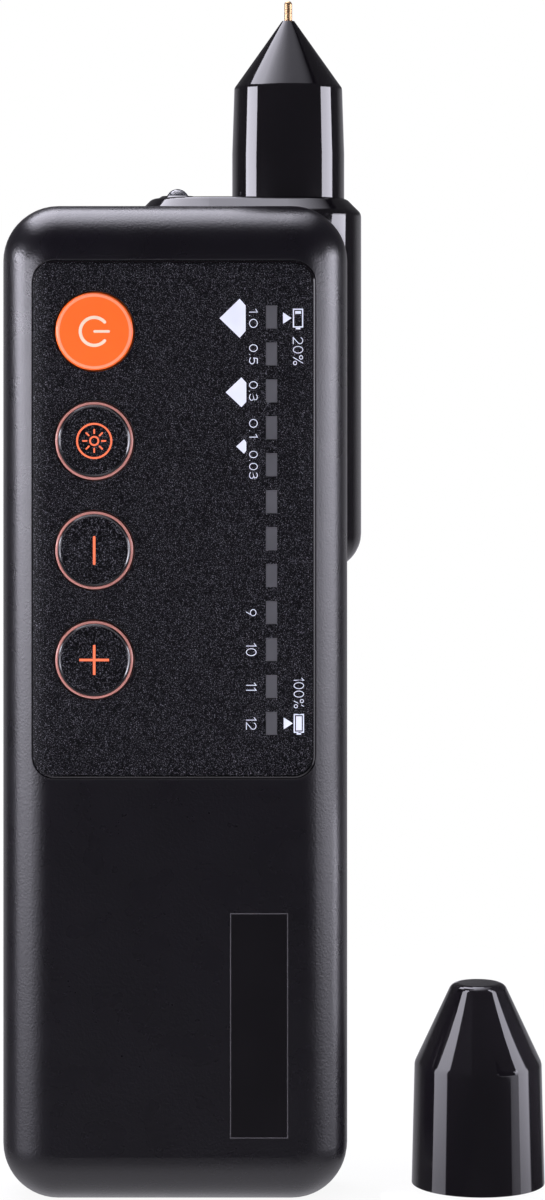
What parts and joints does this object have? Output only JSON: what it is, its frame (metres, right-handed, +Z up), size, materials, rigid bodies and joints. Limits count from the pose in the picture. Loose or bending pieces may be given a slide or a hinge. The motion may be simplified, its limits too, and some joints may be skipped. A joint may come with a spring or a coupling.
{
  "type": "diamond tester pen",
  "caption": "Upright handheld thermal stone tester with a sprung copper needle, push buttons, a light bar, a charging socket and a separate pull-off probe cap.",
  "frame": {"origin": "middle of the base's flat strip, on the body's centre plane, at floor level", "axes": "+X to the right across the front, +Y from the front to the back, +Z up along the needle"},
  "size_m": [0.0689, 0.0265, 0.152],
  "materials": {
    "matte_black": "fine moulded grain",
    "gloss_black": "polished",
    "panel_black": "speckled film",
    "label_black": "satin",
    "orange": "satin",
    "inlay_black": "speckled film",
    "window_grey": "diffusing",
    "emitter_white": "moulded",
    "board_green": "solder mask",
    "chip_black": "moulded",
    "switch_grey": "moulded",
    "plunger_grey": "moulded",
    "connector_white": "moulded",
    "cell_foil": "foil pouch",
    "foam_grey": "foam",
    "lead_red": "insulated",
    "lead_grey": "insulated",
    "steel": "plain",
    "copper": "polished copper",
    "brass": "turned",
    "bush_white": "turned",
    "lamp_clear": "clear"
  },
  "bodies": {
    "housing": {"front_housing": "matte_black", "rear_housing": "gloss_black", "housing_screws": "steel", "panel_overlay": "panel_black", "blank_label": "label_black", "light_pipe": "window_grey", "led_chips": "emitter_white", "main_board": "board_green", "power_switch": "switch_grey", "uv_switch": "switch_grey", "minus_switch": "switch_grey", "plus_switch": "switch_grey", "controller_chip": "chip_black", "amplifier_chip": "chip_black", "charger_chip": "chip_black", "buzzer": "chip_black", "battery_cell": "cell_foil", "battery_pad": "foam_grey", "battery_leads": "lead_red", "battery_connector": "connector_white", "usb_shell": "steel", "usb_tongue": "chip_black", "probe_barrel": "gloss_black", "barrel_nut": "brass", "guide_sleeve": "brass", "tip_bush": "bush_white", "probe_spring": "steel", "probe_plug": "switch_grey", "probe_leads": "lead_grey", "probe_connector": "connector_white", "uv_lamp": "lamp_clear", "uv_lamp_leads": "steel"},
    "power_key": {"power_button": "orange", "power_plunger": "plunger_grey"},
    "uv_key": {"uv_button": "orange", "uv_button_inlay": "inlay_black", "uv_plunger": "plunger_grey"},
    "minus_key": {"minus_button": "orange", "minus_button_inlay": "inlay_black", "minus_plunger": "plunger_grey"},
    "plus_key": {"plus_button": "orange", "plus_button_inlay": "inlay_black", "plus_plunger": "plunger_grey"},
    "probe": {"probe_tip": "copper", "probe_carrier": "bush_white", "heater_sleeve": "bush_white", "thermistor_bead": "chip_black"},
    "loose_cap": {"cap": "gloss_black"}
  },
  "joints": [
    {"name": "power_press", "type": "slide", "parent": "housing", "child": "power_key", "axis": [0, 1, 0], "range_m": [0, 0.0003], "stiffness_N_per_m": 1000, "springref_m": -0.0005},
    {"name": "uv_press", "type": "slide", "parent": "housing", "child": "uv_key", "axis": [0, 1, 0], "range_m": [0, 0.0003], "stiffness_N_per_m": 1000, "springref_m": -0.0005},
    {"name": "minus_press", "type": "slide", "parent": "housing", "child": "minus_key", "axis": [0, 1, 0], "range_m": [0, 0.0003], "stiffness_N_per_m": 1000, "springref_m": -0.0005},
    {"name": "plus_press", "type": "slide", "parent": "housing", "child": "plus_key", "axis": [0, 1, 0], "range_m": [0, 0.0003], "stiffness_N_per_m": 1000, "springref_m": -0.0005},
    {"name": "probe_slide", "type": "slide", "parent": "housing", "child": "probe", "axis": [0, 0, -1], "range_m": [0, 0.0015], "stiffness_N_per_m": 400, "springref_m": -0.002, "deforming": ["probe_spring"]},
    {"name": "cap_lift", "type": "slide", "parent": "housing", "child": "loose_cap", "axis": [0, 0, 1], "range_m": [0, 0.155]}
  ]
}
